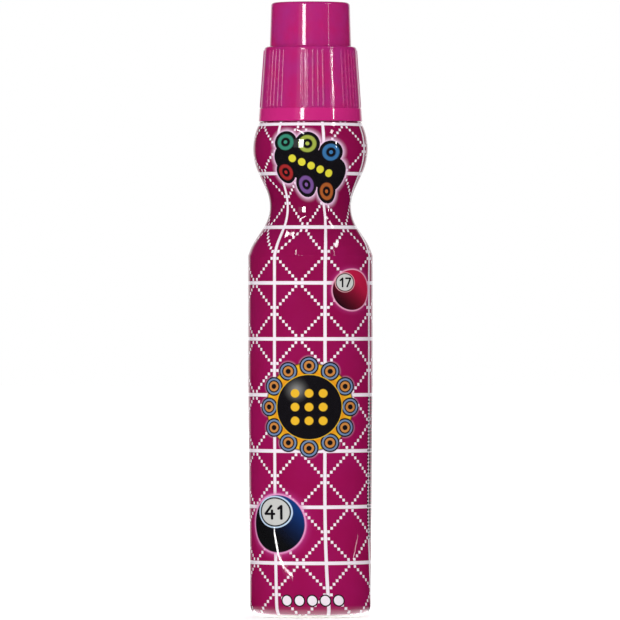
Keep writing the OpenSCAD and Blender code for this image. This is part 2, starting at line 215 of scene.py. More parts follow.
# Plaque: how much wider it is drawn, ends of its spine and of its row of dots, and its beads, as
# (middle, radius, colour)
PLAQUE_MIDDLE = (-3.4, 90.7)
PLAQUE_STRETCH = (1.09, 1.0)
PLAQUE_END = (5.2, -2.0)
PLAQUE_HALF = 4.3
PLAQUE_ROW_END = (5.9, -2.3)
PLAQUE_DOTS = 5
PLAQUE_DOT = 0.95
PLAQUE_BEADS = (
    ((-6.4, 6.0), 2.9, (0.05, 0.3, 0.2)),
    ((-0.9, 5.6), 3.1, (0.42, 0.5, 0.08)),
    ((4.9, 3.4), 3.0, (0.05, 0.2, 0.45)),
    ((-6.9, -1.6), 2.7, (0.45, 0.03, 0.03)),
    ((-1.6, -4.6), 3.0, (0.22, 0.1, 0.35)),
    ((4.4, -6.2), 2.9, (0.5, 0.13, 0.03)),
)
# Balls: light is the direction that the shading brightens in. Strokes are lines on a disc of
# radius 1, in the size of the ball's disc
RED_BALL = {
    "centre": (6.9, 61.85), "size": (5.2, 4.7), "light": (0.42, 0.43), "level": 0.71,
    "bright": (0.5, 0.012, 0.06), "dark": (0.012, 0.004, 0.007), "glow": (0.92, 0.42, 0.62),
    "haze": (0.5, 0.05, 0.25),
    "disc": (-0.36, 0.36), "disc_size": (0.42, 0.4), "ring": (0.75, 0.35, 0.4), "stroke": 0.1,
    "strokes": (((-0.55, 0.25), (-0.3, 0.5)), ((-0.3, 0.5), (-0.3, -0.5)),
                ((0.1, 0.5), (0.65, 0.5)), ((0.65, 0.5), (0.25, -0.5))),
}
BLUE_BALL = {
    "centre": (-12.05, 8.9), "size": (7.25, 6.7), "light": (0.45, 0.5), "level": 0.3,
    "bright": (0.01, 0.05, 0.24), "dark": (0.006, 0.006, 0.007), "glow": (0.88, 0.36, 0.66),
    "haze": (0.6, 0.06, 0.32),
    "disc": (-0.1, 0.4), "disc_size": (0.545, 0.45), "ring": (0.6, 0.76, 0.95), "stroke": 0.09,
    "strokes": (((-0.25, 0.45), (-0.7, -0.15)), ((-0.7, -0.15), (-0.05, -0.15)),
                ((-0.2, 0.1), (-0.2, -0.5)),
                ((0.25, 0.25), (0.45, 0.45)), ((0.45, 0.45), (0.45, -0.5))),
}

# Colours of the cap, the ink and the parts that are not in view
CAP_RED = (0.49, 0.014, 0.145)
CAP_PURPLE = (0.41, 0.024, 0.2)
# Painted light: the smooth band's colour is brighter, as if lit through its thin wall
CAP_BAND_PAINTED_LIGHT = (0.58, 0.022, 0.2)
INK = (0.42, 0.008, 0.13)
INK_DEEP = (0.2, 0.003, 0.06)
MILK_WHITE = (0.86, 0.84, 0.79)
MOULDED_WHITE = (0.84, 0.84, 0.81)
LINER_WHITE = (0.8, 0.8, 0.77)
RUBBER = (0.018, 0.018, 0.02)
STEEL = (0.62, 0.62, 0.64)
CLOTH_LIGHT = (0.56, 0.045, 0.24)
# Stains of ink on white mouldings: their scale, and how sharp their edge is
STAIN_SCALE = 260
STAIN_EDGE = 9.0

# The cap's moulding: its specular level, and scales of its colour's drift, its grain and its waves
CAP_SPECULAR = 0.3
CAP_DRIFT = 220
CAP_GRAIN = 900
CAP_WAVES = 700
CAP_WAVE_DEPTH = 0.06 * MM
# Share of the waves on the smooth band and on the crown
BAND_WAVES = 0.25
CROWN_WAVES = 0.12
# The cap's smooth band ends here, and its crown starts here
BAND_TOP = 115.65 * MM
CROWN_FOOT = 129.7 * MM
# The skirt's ribs stand in groups. Angles in degrees
RIBS_TOP = 128.5 * MM
RIB_GROUPS = 7
FRONT_GROUP = -87
GROUP_HALF = 14.5
RIB_PITCH = 6.2
RIB_HALF = 1.9
# The moulding is duller in the groups, and most of all on the ribs' backs: roughness added
GROOVE_ROUGH = 0.04
RIB_ROUGH = 0.2

# Pad, in millimetres: the cloth's thickness, and for the cloth's outer side and the foam the
# outline of the wall as (height, radius) and the rise of the dome over it
CLOTH = 0.22
CLOTH_WALL = ((129.95, 6.25), (131.2, 6.25), (131.95, 6.95), (133.65, 6.95))
CLOTH_DOME = 3.53
FOAM_WALL = ((131.22, 0.0), (131.22, 5.95), (131.95, 6.66), (133.6, 6.68))
FOAM_DOME = 3.28
PAD_ARC_STEPS = 20
PAD_TURN_STEPS = 192
# Puckers of the cloth over the ring: number, depth, where they start and how far up they reach
PUCKERS = 32
PUCKER_DEPTH = 0.07 * MM
PUCKER_FOOT = 131.25 * MM
PUCKER_REACH = 1.6 * MM
# Weave of the cloth: pitch of its threads in millimetres, and how far they stand out
THREAD_PITCH = 0.28
THREAD_DEPTH = 0.09 * MM

# Spring: path and wire as in the construction, its flat ends in turns, and the steps of its mesh
SPRING_FOOT = 121.8 * MM
SPRING_HEAD = 130.2 * MM
SPRING_RADIUS = 2.6 * MM
WIRE = 0.25 * MM
SPRING_TURNS = 6
SPRING_FLAT = 0.4
SPRING_STEPS = 48
WIRE_SIDES = 12


class Shader:
    """One material's nodes. A number, point or colour is a socket or a plain value."""

    def __init__(self, name):
        self.material = bpy.data.materials.new(name)
        self.material.use_nodes = True
        self.tree = self.material.node_tree
        self.surface = self.tree.nodes["Principled BSDF"]

    def node(self, kind, inputs=(), **settings):
        made = self.tree.nodes.new("ShaderNode" + kind)
        for name, value in settings.items():
            setattr(made, name, value)
        for place, value in enumerate(inputs):
            self.feed(made.inputs[place], value)
        return made

    def feed(self, socket, value):
        if isinstance(value, bpy.types.NodeSocket):
            self.tree.links.new(value, socket)
        elif value is not None:
            if hasattr(socket.default_value, "__len__") and len(value) < len(socket.default_value):
                value = (*value, *(0, 0, 1)[3 - len(socket.default_value) + len(value):])
            socket.default_value = value

    def set(self, **values):
        for name, value in values.items():
            self.feed(self.surface.inputs[name.replace("_", " ")], value)

    def math(self, kind, *values, clamp=False):
        return self.node("Math", values, operation=kind, use_clamp=clamp).outputs[0]

    def vector(self, kind, *values):
        made = self.node("VectorMath", values, operation=kind)
        return made.outputs["Value" if kind in ("LENGTH", "DISTANCE", "DOT_PRODUCT") else "Vector"]

    def mix(self, share, first, second):
        made = self.node("Mix", data_type="RGBA")
        for name, value in (("Factor_Float", share), ("A_Color", first), ("B_Color", second)):
            self.feed(next(s for s in made.inputs if s.identifier == name), value)
        return next(s for s in made.outputs if s.identifier == "Result_Color")

    def attribute(self, name):
        return self.node("Attribute", attribute_name=name).outputs["Vector"]

    def place(self):
        return self.node("TexCoord").outputs["Object"]

    def noise(self, point, scale, detail):
        made = self.node("TexNoise", (point,))
        made.inputs["Scale"].default_value = scale
        made.inputs["Detail"].default_value = detail
        return made.outputs[0]

    def bump(self, height, depth):
        made = self.node("Bump")
        made.inputs["Strength"].default_value = 1.0
        made.inputs["Distance"].default_value = depth
        self.feed(made.inputs["Height"], height)
        self.feed(self.surface.inputs["Normal"], made.outputs[0])

    def inside(self, value, limit, soft=0.06):
        """1 where value is below limit, with a soft edge."""
        return self.math("MULTIPLY_ADD", value, -1 / soft, limit / soft + 0.5, clamp=True)

    def ramp(self, value, reach, result):
        """Eases from the first result to the second as value crosses a reach."""
        made = self.node("MapRange", interpolation_type="SMOOTHSTEP")
        for name, level in zip(("From Min", "From Max", "To Min", "To Max"), (*reach, *result)):
            made.inputs[name].default_value = level
        self.feed(made.inputs["Value"], value)
        return made.outputs["Result"]

    def from_point(self, point, centre):
        return self.vector("DISTANCE", point, (*centre, 0))

    def from_line(self, point, start, end):
        """Distance from a straight stroke between two places."""
        run = (end[0] - start[0], end[1] - start[1])
        square = run[0] ** 2 + run[1] ** 2
        local = self.vector("SUBTRACT", point, (*start, 0))
        share = self.vector("DOT_PRODUCT", local, (run[0] / square, run[1] / square, 0))
        share = self.math("ADD", share, 0, clamp=True)
        along = self.node("VectorMath", ((*run, 0),), operation="SCALE")
        self.feed(along.inputs["Scale"], share)
        return self.vector("DISTANCE", local, along.outputs["Vector"])

    def nearest(self, distances):
        least = distances[0]
        for distance in distances[1:]:
            least = self.math("MINIMUM", least, distance)
        return least


def assign(material, *names):
    for name in names:
        slots = nodes[name].material_slots
        for place in range(len(slots)):
            slots[place].material = material


def finish_piece(mesh, name, material, body):
    """Turns a bmesh into a smooth piece that rides on a body."""
    bmesh.ops.recalc_face_normals(mesh, faces=mesh.faces)
    data = bpy.data.meshes.new(name)
    mesh.to_mesh(data)
    mesh.free()
    data.polygons.foreach_set("use_smooth", [True] * len(data.polygons))
    piece = bpy.data.objects.new(name, data)
    bpy.context.scene.collection.objects.link(piece)
    data.materials.append(material)
    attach(piece, body)
    return piece


# Camera, lamps and surroundings
def make_camera():
    data = bpy.data.cameras.new("camera")
    data.lens = CAMERA_LENS
    data.sensor_width = SENSOR_WIDTH
    data.clip_end = 20
    camera = bpy.data.objects.new("camera", data)
    camera.location = (CAMERA_SIDE, -CAMERA_DISTANCE, CAMERA_HEIGHT)
    camera.rotation_euler = (math.pi / 2, 0, 0)
    bpy.context.scene.collection.objects.link(camera)
    bpy.context.scene.camera = camera


def lamp(name, azimuth, elevation, width, height, strength, lights):
    """A soft box that faces the object, and either lights its surfaces or shows in their gloss."""
    data = bpy.data.lights.new(name, "AREA")
    data.shape = "RECTANGLE"
    data.size, data.size_y = width, height
    data.energy = strength
    made = bpy.data.objects.new(name, data)
    turn, rise = math.radians(azimuth), math.radians(elevation)
    out = Vector((math.sin(turn) * math.cos(rise), -math.cos(turn) * math.cos(rise), math.sin(rise)))
    middle = (cad_box[0] + cad_box[1]) / 2
    made.location = middle + out * LAMP_DISTANCE
    made.rotation_euler = (-out).to_track_quat("-Z", "Y").to_euler()
    made.visible_diffuse, made.visible_glossy = lights, not lights
    made.visible_camera = made.visible_transmission = False
    bpy.context.scene.collection.objects.link(made)


def bar(name, start, end, width, strength, aim, fan):
    """A thin lamp between two places, which faces a height on the axis and only shows in gloss."""
    start, end = Vector(start), Vector(end)
    data = bpy.data.lights.new(name, "AREA")
    data.shape = "RECTANGLE"
    data.size, data.size_y = (end - start).length, width
    data.energy, data.spread = strength, math.radians(fan)
    made = bpy.data.objects.new(name, data)
    along = (end - start).normalized()
    back = (start + end) / 2 - Vector((0, 0, aim))
    back = (back - along * back.dot(along)).normalized()
    turn = Matrix((along, back.cross(along), back)).transposed().to_4x4()
    made.matrix_world = Matrix.Translation((start + end) / 2) @ turn
    made.visible_diffuse = made.visible_camera = made.visible_transmission = False
    bpy.context.scene.collection.objects.link(made)


def make_lamps():
    """Two soft boxes light the front and the back. All other lamps only show in gloss."""
    for box in SOFT_BOXES:
        lamp(*box)
    for glint in GLINT_BARS:
        bar(*glint, GLINT_AIM, GLINT_FAN)
    for name, start, end, width, strength in FOOT_BARS:
        bar(name, start, end, width, strength, start[2], FOOT_FAN)


def make_world():
    """White for the camera, plain light for surfaces, and a white ground behind for gloss."""
    world = bpy.data.worlds.new("studio")
    bpy.context.scene.world = world
    world.use_nodes = True
    tree = world.node_tree
    background = tree.nodes["Background"]
    path = tree.nodes.new("ShaderNodeLightPath")
    place = tree.nodes.new("ShaderNodeTexCoord")
    apart = tree.nodes.new("ShaderNodeSeparateXYZ")
    tree.links.new(place.outputs["Generated"], apart.inputs[0])
    behind = tree.nodes.new("ShaderNodeMapRange")
    behind.interpolation_type = "SMOOTHSTEP"
    for name, value in (("From Min", BEHIND[0]), ("From Max", BEHIND[1]),
                        ("To Min", DARK_STUDIO), ("To Max", WHITE_GROUND)):
        behind.inputs[name].default_value = value
    tree.links.new(apart.outputs["Y"], behind.inputs["Value"])

    def choose(share, first, second):
        node = tree.nodes.new("ShaderNodeMix")
        tree.links.new(share, node.inputs[0])
        for slot, value in ((node.inputs[2], first), (node.inputs[3], second)):
            if isinstance(value, bpy.types.NodeSocket):
                tree.links.new(value, slot)
            else:
                slot.default_value = value
        return node.outputs[0]

    level = choose(path.outputs["Is Glossy Ray"], WORLD_LIGHT, behind.outputs["Result"])
    level = choose(path.outputs["Is Transmission Ray"], level, WHITE_GROUND)
    level = choose(path.outputs["Is Camera Ray"], level, WHITE_GROUND)
    background.inputs["Color"].default_value = (1, 1, 1, 1)
    tree.links.new(level, background.inputs["Strength"])


def make_floor():
    """A plain white floor that shows the object's soft shadow."""
    data = bpy.data.meshes.new("floor")
    corners = [(x * FLOOR_HALF, y * FLOOR_HALF, 0) for x, y in ((-1, -1), (1, -1), (1, 1), (-1, 1))]
    data.from_pydata(corners, [], [(0, 1, 2, 3)])
    floor = bpy.data.objects.new("floor", data)
    bpy.context.scene.collection.objects.link(floor)
    made = Shader("floor_white")
    path = made.node("LightPath")
    point = made.node("NewGeometry").outputs["Position"]
    out = made.vector("LENGTH", point)
    apart = made.node("SeparateXYZ", (point,))
    glow = made.ramp(out, FLOOR_REACH, FLOOR_GLOW)
    behind = made.ramp(made.math("DIVIDE", apart.outputs["Y"], out), BEHIND, (0, 1))
    mirrored = behind
    for reach, level in FOOT_GLOWS:
        mirrored = made.math("ADD", mirrored, made.ramp(out, (FOOT_START, reach), (level, 0)))
    seen = made.math("MAXIMUM", path.outputs["Is Camera Ray"], path.outputs["Is Transmission Ray"])
    given = made.math("MULTIPLY", seen, glow)
    given = made.math("MULTIPLY_ADD", path.outputs["Is Glossy Ray"], mirrored, given)
    made.set(Base_Color=made.mix(path.outputs["Is Glossy Ray"], FLOOR_WHITE, (0, 0, 0)),
             Roughness=FLOOR_ROUGH, Specular_IOR_Level=0.0,
             Emission_Color=(1, 1, 1), Emission_Strength=given)
    data.materials.append(made.material)


# The printed film
def lattice_turn(angle, height):
    """How many degrees round the print the film lies at an angle from the front."""
    turn = math.radians(angle)
    waves = (math.sin(turn), math.cos(turn), math.sin(2 * turn))
    even = angle - LATTICE_MIDDLE + sum(stray * wave for stray, wave in zip(LATTICE_STRAY, waves))
    waist = WAIST_PULL * math.exp(-((height - WAIST_HEIGHT) / WAIST_REACH) ** 2)
    waist *= math.sin(turn + math.radians(WAIST_LEAN)) + WAIST_EVEN
    foot = sum(share * math.sin(turn) ** power for power, share in enumerate(FOOT_PULL))
    return even - waist - foot * max(1 - height / FOOT_PULL_TO, 0) ** 2


def film_place(angle, height):
    """Where a point of the sleeve lies in the flat print, in millimetres from line and row."""
    across = lattice_turn(angle, height) * CELL * CELLS_ROUND / 360
    return across, height - FIRST_ROW + DRAWN * max((height - DRAWN_FROM) / DRAWN_OVER, 0) ** 3


def print_lattice(film, point):
    """1 on the white lines: a square grid with a stepped diamond in each cell."""
    apart = film.node("SeparateXYZ", (point,))
    half = SQUARES / 2
    out, inner = [], []
    for axis in ("X", "Y"):
        along = film.math("MULTIPLY_ADD", apart.outputs[axis], 1 / SQUARE, 0.5)
        step = film.math("FLOORED_MODULO", film.math("FLOOR", along), SQUARES)
        out.append(film.math("ABSOLUTE", film.math("SUBTRACT", step, half)))
        inner.append(film.math("COMPARE", film.math("FRACT", along), 0.5, STEP_HALF))
    diamond = film.math("COMPARE", film.math("ADD", *out), half, 0.5)
    diamond = film.math("MULTIPLY", diamond, film.math("MULTIPLY", *inner))
    lines = film.math("COMPARE", film.math("MAXIMUM", *out), half, 0.5)
    return film.math("MAXIMUM", diamond, lines)


def scaled(film, point, centre, size):
    """The point as seen from a motif's middle, with the motif's half width and height as 1."""
    return film.node("VectorMath", (point, (1 / size[0], 1 / size[1], 1),
                                    (-centre[0] / size[0], -centre[1] / size[1], 0)),
                     operation="MULTIPLY_ADD").outputs["Vector"]


def print_rings(film, colour, distance, rings, soft=0.05):
    """Lays round patches over each other, from (radius, colour) pairs, the largest first."""
    for radius, paint in rings:
        colour = film.mix(film.inside(distance, radius, soft), colour, paint)
    return colour


def print_glow(film, colour, distance, edge, width, share, paint=GLOW_PINK):
    """A pale halo that fades out over a width past the edge."""
    fade = film.math("MULTIPLY_ADD", distance, -1 / width, edge / width + 1, clamp=True)
    fade = film.math("MULTIPLY", film.math("MULTIPLY", fade, fade), share)
    return film.mix(fade, colour, paint)


def print_number(film, point, strokes, width, colour):
    marks = film.nearest([film.from_line(point, *stroke) for stroke in strokes])
    return film.mix(film.inside(marks, width, 0.03), colour, PRINT_BLACK)


def print_ball(film, colour, point, ball):
    """A shaded ball with a numbered disc."""
    local = scaled(film, point, ball["centre"], ball["size"])
    out = film.vector("LENGTH", local)
    colour = print_glow(film, colour, out, 1.0, 0.32, 0.5, ball["haze"])
    colour = print_glow(film, colour, out, 1.0, 0.08, 0.92, ball["glow"])
    shade = film.vector("DOT_PRODUCT", local, (*ball["light"], 0))
    shade = film.math("ADD", shade, ball["level"], clamp=True)
    shade = film.math("MULTIPLY", shade, shade)
    paint = film.mix(shade, ball["dark"], ball["bright"])
    body = film.inside(out, 0.97, 0.03)
    colour = film.mix(body, colour, paint)
    disc = scaled(film, local, ball["disc"], ball["disc_size"])
    reach = film.vector("LENGTH", disc)
    colour = print_rings(film, colour, reach,
                         ((1.21, ball["ring"]), (1.11, ball["dark"]), (1.0, DISC_GREY)))
    return print_number(film, disc, ball["strokes"], ball["stroke"], colour)


def nearest_dot(film, apart, pitch):
    """Distance from the nearest dot of a square grid, for a place given as separate numbers."""
    near = [film.math("WRAP", apart.outputs[axis], pitch / 2, -pitch / 2) for axis in ("X", "Y")]
    return film.vector("LENGTH", film.node("CombineXYZ", (*near, 0)).outputs[0])


def print_medallion(film, colour, point):
    """A black disc with nine gold dots, in a gold ring set with round beads."""
    local = scaled(film, point, MEDALLION_MIDDLE, MEDALLION_HALF)
    out = film.vector("LENGTH", local)
    apart = film.node("SeparateXYZ", (local,))
    turn = film.math("ARCTAN2", apart.outputs["Y"], apart.outputs["X"])
    part = math.pi / MEDALLION_BEADS
    turn = film.math("WRAP", turn, part, -part)
    bead = [film.math("MULTIPLY", out, film.math(wave, turn)) for wave in ("COSINE", "SINE")]
    bead = film.node("CombineXYZ", (*bead, 0)).outputs[0]
    bead = film.from_point(bead, (BEAD_OUT, 0))
    colour = print_glow(film, colour, bead, 0.26, 0.1, 0.6)
    colour = print_rings(film, colour, out, MEDALLION_RIM)
    warm = film.math("MULTIPLY_ADD", out, 5.0, -5.2, clamp=True)
    warm = film.math("MULTIPLY", warm, film.inside(out, MEDALLION_RIM[-1][0]))
    colour = film.mix(warm, colour, GOLD)
    colour = print_rings(film, colour, bead, BEAD_RINGS, 0.02)
    colour = print_rings(film, colour, out, MEDALLION_FACE, 0.02)
    shine = film.from_point(local, MEDALLION_SHINE)
    shine = film.math("MULTIPLY_ADD", shine, -2.2, 1.0, clamp=True)
    shine = film.math("MULTIPLY", film.math("MULTIPLY", shine, shine), film.inside(out, 0.97))
    colour = film.mix(film.math("MULTIPLY", shine, 0.5), colour, DISC_GREY)
    dots = nearest_dot(film, apart, DOT_PITCH)
    square = film.math("MAXIMUM", *[film.math("ABSOLUTE", apart.outputs[axis]) for axis in ("X", "Y")])
    square = film.inside(square, 1.5 * DOT_PITCH)
    marks = film.math("MULTIPLY", film.inside(dots, DOT_RADIUS, 0.02), square)
    return film.mix(marks, colour, GOLD)


def print_plaque(film, colour, point):
    """A tilted black plaque with a scalloped edge of coloured beads and a row of yellow dots."""
    local = scaled(film, point, PLAQUE_MIDDLE, PLAQUE_STRETCH)
    body = film.from_line(local, (-PLAQUE_END[0], -PLAQUE_END[1]), PLAQUE_END)
    beads = [film.from_point(local, centre) for centre, radius, paint in PLAQUE_BEADS]
    sizes = [radius for centre, radius, paint in PLAQUE_BEADS]
    sides = [film.math("SUBTRACT", *pair) for pair in zip([body, *beads], [PLAQUE_HALF, *sizes])]
    edge = film.nearest(sides)
    colour = print_glow(film, colour, edge, 0.0, 1.5, 1.0)
    colour = film.mix(film.inside(edge, 0.0), colour, PRINT_BLACK)
    for bead, (centre, radius, paint) in zip(beads, PLAQUE_BEADS):
        ring = film.math("ABSOLUTE", film.math("SUBTRACT", bead, 0.56 * radius))
        inside = film.math("MULTIPLY", film.inside(ring, 0.15 * radius, 0.3), 0.85)
        colour = film.mix(inside, colour, paint)
        colour = film.mix(film.inside(bead, 0.16 * radius), colour, paint)
    for place in range(PLAQUE_DOTS):
        share = (place + 0.5) / PLAQUE_DOTS * 2 - 1
        dot = film.from_point(local, (PLAQUE_ROW_END[0] * share, PLAQUE_ROW_END[1] * share))
        colour = film.mix(film.inside(dot, PLAQUE_DOT, 0.12), colour, DOT_YELLOW)
    return colour


def print_foot_dots(film, colour, point):
    """A row of white dots with a dark edge, over the foot."""
    local = film.vector("SUBTRACT", point, (*FOOT_MIDDLE, 0))
    apart = film.node("SeparateXYZ", (local,))
    near = film.math("WRAP", apart.outputs["X"], FOOT_PITCH / 2, -FOOT_PITCH / 2)
    dot = film.vector("LENGTH", film.node("CombineXYZ", (near, apart.outputs["Y"], 0)).outputs[0])
    row = film.inside(film.math("ABSOLUTE", apart.outputs["X"]), FOOT_DOTS / 2 * FOOT_PITCH)
    edge = film.math("MULTIPLY", film.inside(dot, FOOT_DOT_EDGE), row)
    colour = film.mix(edge, colour, PRINT_BLACK)
    return film.mix(film.math("MULTIPLY", film.inside(dot, FOOT_DOT), row), colour, PRINT_WHITE)


def print_side_dots(film, colour, point):
    """A panel of small dark dots on the +X side."""
    local = film.vector("SUBTRACT", point, (*PANEL_MIDDLE, 0))
    apart = film.node("SeparateXYZ", (local,))
    dot = nearest_dot(film, apart, SQUARE)
    sides = [film.inside(film.math("ABSOLUTE", apart.outputs[axis]), half)
             for axis, half in zip(("X", "Y"), PANEL_HALF)]
    marks = film.math("MULTIPLY", film.inside(dot, PANEL_DOT, 0.1), film.math("MULTIPLY", *sides))
    return film.mix(marks, colour, PRINT_BLACK)


def printed_film():
    """Glossy film over the whole print, laid from the lattice up to the motifs."""
    film = Shader("printed_film")
    point = film.attribute("film")
    tone = film.noise(film.place(), FILM_DRIFT, 3)
    base = film.mix(film.math("MULTIPLY_ADD", tone, 2.0, -0.5, clamp=True), FILM_DEEP, FILM_MAGENTA)
    apart = film.node("SeparateXYZ", (film.place(),))
    height = apart.outputs["Z"]
    squares = [film.math("MULTIPLY", side, side) for side in (apart.outputs["X"], apart.outputs["Y"])]
    radius = film.math("SQRT", film.math("ADD", *squares))
    # Painted shade and light: the film's colour is darker towards the top and at the narrow waist,
    # lighter near the foot
    level = film.math("MULTIPLY", film.ramp(height, PAINTED_SHADE_HEIGHT, PAINTED_SHADE_LEVELS),
                      film.ramp(radius, PAINTED_SHADE_RADIUS, (PAINTED_WAIST_SHADE, 1)))
    level = film.node("CombineXYZ", (level, level, level)).outputs[0]
    base = film.vector("MULTIPLY", base, level)
    colour = film.mix(print_lattice(film, point), base, PRINT_WHITE)
    colour = print_side_dots(film, colour, point)
    for ball in (RED_BALL, BLUE_BALL):
        colour = print_ball(film, colour, point, ball)
    colour = print_medallion(film, colour, point)
    colour = print_plaque(film, colour, point)
    colour = print_foot_dots(film, colour, point)
    film.set(Base_Color=colour, Roughness=FILM_ROUGH)
    smooth = film.ramp(height, SMOOTH_FOOT, (SMOOTH_SHARE, 1))
    film.bump(film.math("MULTIPLY", film.noise(film.place(), WAVE_SCALE, 1), smooth), WAVE_DEPTH)
    return film.material


def outer_outline(name):
    """A round node's outer outline in the frame, as (height, radius) from its foot up."""
    outline = {}
    for vertex in nodes[name].data.vertices:
        x, y, z = vertex.co
        if vertex.normal.x * x + vertex.normal.y * y > 0:
            outline[round(z, 6)] = max(outline.get(round(z, 6), 0), math.hypot(x, y))
    return sorted(outline.items())


def even_steps(line, step):
    """The same line with its points evenly spaced, and its corners a little softened."""
    spaced = [line[0]]
    left = step
    for start, end in zip(line, line[1:]):
        length = math.dist(start, end)
        at = left
        while at < length:
            share = at / length
            spaced.append(tuple(a + (b - a) * share for a, b in zip(start, end)))
            at += step
        left = at - length
    spaced[-1] = line[-1]
    for _ in range(SOFTEN_PASSES):
        middle = [tuple((a + 2 * b + c) / 4 for a, b, c in zip(*near))
                  for near in zip(spaced, spaced[1:], spaced[2:])]
        spaced = [spaced[0], *middle, spaced[-1]]
    return spaced


def moved_in(line, depth):
    """A (height, radius) line moved towards the axis, square to itself."""
    moved = []
    for place, (z, r) in enumerate(line):
        before, after = line[max(place - 1, 0)], line[min(place + 1, len(line) - 1)]
        run = (after[0] - before[0], after[1] - before[1])
        size = math.hypot(*run)
        moved.append((z + depth * run[1] / size, r - depth * run[0] / size))
    return moved


def revolve(outline, steps, close):
    """A bmesh of the outline, given as (height, radius), swept once round the axis."""
    mesh = bmesh.new()
    points = [mesh.verts.new((0, -r, z)) for z, r in outline]
    pairs = list(zip(points, points[1:])) + ([(points[-1], points[0])] if close else [])
    lines = [mesh.edges.new(pair) for pair in pairs]
    bmesh.ops.spin(mesh, geom=points + lines, cent=(0, 0, 0), axis=(0, 0, 1), dvec=(0, 0, 0),
                   angle=2 * math.pi, steps=steps, use_merge=True)
    bmesh.ops.remove_doubles(mesh, verts=mesh.verts, dist=0.001 * MM)
    return mesh


def lay_print(mesh):
    """Gives each corner of the sleeve its place in the flat print."""
    layer = mesh.loops.layers.uv.new("film")
    places = {}
    for vertex in mesh.verts:
        angle = math.degrees(math.atan2(vertex.co.x, -vertex.co.y))
        places[vertex] = (angle, *film_place(angle, vertex.co.z / MM))
    for face in mesh.faces:
        middle = face.calc_center_median()
        facing = math.degrees(math.atan2(middle.x, -middle.y))
        for loop in face.loops:
            angle, across, up = places[loop.vert]
            laps = round((facing - angle) / 360)
            loop[layer].uv = (across + laps * CELL * CELLS_ROUND, up)


def creased(line, reach):
    """Lets the line run straight from both sides of a reach to one edge inside it."""
    below = [point for point in line if point[0] < reach[0]]
    above = [point for point in line if point[0] > reach[1]]
    low, high = below[-1], above[0]
    lean = [(b[1] - a[1]) / (b[0] - a[0]) for a, b in (below[-2:], above[:2])]
    edge = (high[1] - low[1] + lean[0] * low[0] - lean[1] * high[0]) / (lean[0] - lean[1])
    shares = [step / CREASE_STEPS for step in range(1, CREASE_STEPS)]
    heights = [low[0] + (edge - low[0]) * share for share in shares]
    heights += [edge - CREASE_HALF, edge, edge + CREASE_HALF]
    heights += [edge + (high[0] - edge) * share for share in shares]
    sides = [(low, lean[0]) if z <= edge else (high, lean[1]) for z in heights]
    return below + [(z, at[1] + slope * (z - at[0])) for z, (at, slope) in zip(heights, sides)] + above


def make_sleeve():
    """The printed film, with a finer mesh than the solid's and a cut edge over the ledge."""
    outside = creased(even_steps(outer_outline("label_sleeve"), SLEEVE_STEP), CREASE)
    outside.append((outside[-1][0] + EDGE_RISE, outside[-1][1] - EDGE_RISE / 2))
    mesh = revolve(outside + moved_in(outside, FILM)[::-1], SLEEVE_TURN_STEPS, True)
    lay_print(mesh)
    sleeve = finish_piece(mesh, "printed_sleeve", printed_film(), "bottle")
    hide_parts("label_sleeve")


# The cap and the plain mouldings
def cap_plastic():
    """Glossy moulding whose colour drifts between red and purple, with painted light on the smooth
    band: it is drawn brighter, as if lit through its thin wall.
    """
    cap = Shader("cap_plastic")
    point = cap.place()
    apart = cap.node("SeparateXYZ", (point,))
    height = apart.outputs["Z"]
    drift = cap.math("MULTIPLY_ADD", cap.noise(point, CAP_DRIFT, 3), 2.2, -0.6, clamp=True)
    colour = cap.mix(drift, CAP_RED, CAP_PURPLE)
    # Painted light: the smooth band is drawn in a brighter colour, as if lit through its thin wall
    colour = cap.mix(cap.inside(height, BAND_TOP, 0.3 * MM), colour, CAP_BAND_PAINTED_LIGHT)
    turn = cap.math("DEGREES", cap.math("ARCTAN2", apart.outputs["Y"], apart.outputs["X"]))
    part = 180 / RIB_GROUPS
    turn = cap.math("ABSOLUTE", cap.math("WRAP", cap.math("SUBTRACT", turn, FRONT_GROUP), part, -part))
    grip = cap.math("MULTIPLY", cap.inside(turn, GROUP_HALF, 1.5), cap.inside(height, RIBS_TOP, MM))
    grip = cap.math("MULTIPLY", grip, cap.math("SUBTRACT", 1, cap.inside(height, BAND_TOP, MM)))
    rib = cap.math("ABSOLUTE", cap.math("WRAP", turn, RIB_PITCH / 2, -RIB_PITCH / 2))
    rib = cap.inside(rib, RIB_HALF, 0.8)
    dull = cap.math("MULTIPLY_ADD", rib, RIB_ROUGH - GROOVE_ROUGH, GROOVE_ROUGH)
    rough = cap.math("MULTIPLY_ADD", cap.noise(point, CAP_GRAIN, 2), 0.06, 0.04)
    cap.set(Base_Color=colour, Roughness=cap.math("MULTIPLY_ADD", grip, dull, rough),
            Specular_IOR_Level=CAP_SPECULAR)
    drawn = cap.noise(cap.vector("MULTIPLY", point, (1, 1, 0.06)), CAP_WAVES, 1)
    wavy = cap.math("MULTIPLY", cap.ramp(height, (BAND_TOP, BAND_TOP + MM), (BAND_WAVES, 1)),
                    cap.ramp(height, (CROWN_FOOT - MM, CROWN_FOOT), (1, CROWN_WAVES)))
    cap.bump(cap.math("MULTIPLY", drawn, wavy), CAP_WAVE_DEPTH)
    return cap.material


def moulding(name, light, dark, roughness, grain, depth, stain=0.0):
    """A plain material with a faint drift of colour, a fine grain, and stains of ink."""
    made = Shader(name)
    point = made.place()
    colour = made.mix(made.noise(point, grain, 3), dark, light)
    if stain:
        wet = made.noise(point, STAIN_SCALE, 4)
        wet = made.math("MULTIPLY_ADD", wet, STAIN_EDGE, -STAIN_EDGE * (1 - stain), clamp=True)
        colour = made.mix(wet, colour, INK)
    rough = made.math("MULTIPLY_ADD", made.noise(point, 4 * grain, 2), 0.2, roughness - 0.1)
    made.set(Base_Color=colour, Roughness=rough)
    made.bump(made.noise(point, 8 * grain, 2), depth)
    return made.material


def darker(colour, share):
    return tuple(level * share for level in colour)


